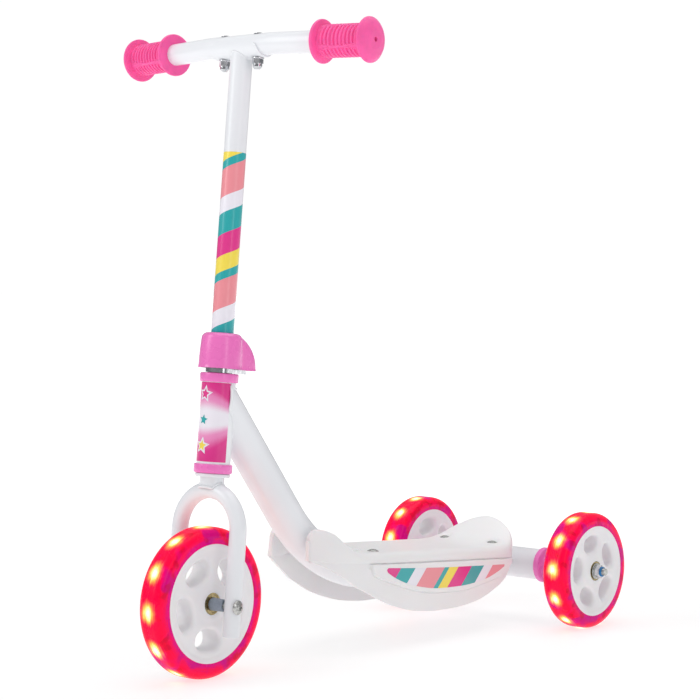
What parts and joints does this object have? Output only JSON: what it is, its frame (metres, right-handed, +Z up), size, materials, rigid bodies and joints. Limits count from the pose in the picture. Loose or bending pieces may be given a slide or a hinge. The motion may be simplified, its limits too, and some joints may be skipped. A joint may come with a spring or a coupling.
{
  "type": "kick scooter",
  "caption": "Small child's three-wheeled kick scooter: bent tube frame, moulded deck with side skirts, tee handlebar and light-up wheels.",
  "frame": {"origin": "on the ground, in the middle of the outer box's width and length", "axes": "+Z up, the scooter rolls towards -Y, +X to the rider's left; node names say left and right as a viewer facing the scooter's front sees them"},
  "size_m": [0.33, 0.636, 0.6448],
  "materials": {
    "white_powder_coat": "satin white powder coat",
    "white_plastic": "moulded white polypropylene",
    "hub_plastic": "moulded white nylon",
    "orchid_plastic": "moulded orchid pink ABS",
    "grip_rubber": "moulded pink rubber",
    "tyre_urethane": "translucent pink cast urethane",
    "steel": "zinc-plated steel",
    "chrome_steel": "bright chrome plate",
    "bearing_steel": "yellow-passivated bearing steel",
    "grey_nylon": "grey moulded nylon",
    "blue_nylon": "blue nylon lock insert",
    "magnet": "sintered magnet",
    "light_lens": "clear light module"
  },
  "bodies": {
    "frame": {"main_tube": "white_powder_coat", "head_tube": "white_powder_coat", "rear_axle_tube": "white_powder_coat", "deck_bracket_front": "white_powder_coat", "deck_bracket_rear": "white_powder_coat", "deck_top": "white_plastic", "side_skirt_left": "white_plastic", "side_skirt_right": "white_plastic", "lower_head_ring": "orchid_plastic", "upper_head_ring": "orchid_plastic", "lower_head_bush": "grey_nylon", "upper_head_bush": "grey_nylon", "axle_cap_left": "orchid_plastic", "axle_cap_right": "orchid_plastic", "deck_bolts": "steel", "deck_nuts": "steel", "rear_axle_rod": "steel", "rear_washers": "steel", "rear_lock_nuts": "steel", "rear_nut_inserts": "blue_nylon", "rear_magnet_sleeves": "magnet"},
    "steering": {"fork_tube": "white_powder_coat", "steerer_tube": "white_powder_coat", "fork_crown_race": "white_powder_coat", "stem_tube": "white_powder_coat", "stem_clamp": "chrome_steel", "clamp_bolt": "steel", "clamp_nut": "steel", "clamp_cover": "orchid_plastic", "bar_cradle": "white_powder_coat", "handlebar": "white_powder_coat", "bar_bolts": "steel", "bar_cap_nuts": "chrome_steel", "grip_left": "grip_rubber", "grip_right": "grip_rubber", "front_axle_bolt": "steel", "front_axle_nut": "steel", "front_spacers": "grey_nylon", "front_magnet_sleeve": "magnet"},
    "front_wheel": {"front_tyre": "tyre_urethane", "front_hub": "hub_plastic", "front_bearings": "bearing_steel", "front_lights": "light_lens"},
    "rear_wheel_left": {"rear_tyre_left": "tyre_urethane", "rear_hub_left": "hub_plastic", "rear_bearings_left": "bearing_steel", "rear_lights_left": "light_lens"},
    "rear_wheel_right": {"rear_tyre_right": "tyre_urethane", "rear_hub_right": "hub_plastic", "rear_bearings_right": "bearing_steel", "rear_lights_right": "light_lens"}
  },
  "joints": [
    {"name": "steering_turn", "type": "hinge", "parent": "frame", "child": "steering", "pos_m": [0, -0.24066, 0.075], "axis": [0, 0.0955, 0.9954], "range_deg": [-60, 60]},
    {"name": "front_wheel_spin", "type": "hinge", "parent": "steering", "child": "front_wheel", "pos_m": [0, -0.243, 0.075], "axis": [1, 0, 0], "continuous": true},
    {"name": "rear_left_spin", "type": "hinge", "parent": "frame", "child": "rear_wheel_left", "pos_m": [-0.118, 0.253, 0.065], "axis": [1, 0, 0], "continuous": true},
    {"name": "rear_right_spin", "type": "hinge", "parent": "frame", "child": "rear_wheel_right", "pos_m": [0.118, 0.253, 0.065], "axis": [1, 0, 0], "continuous": true}
  ]
}
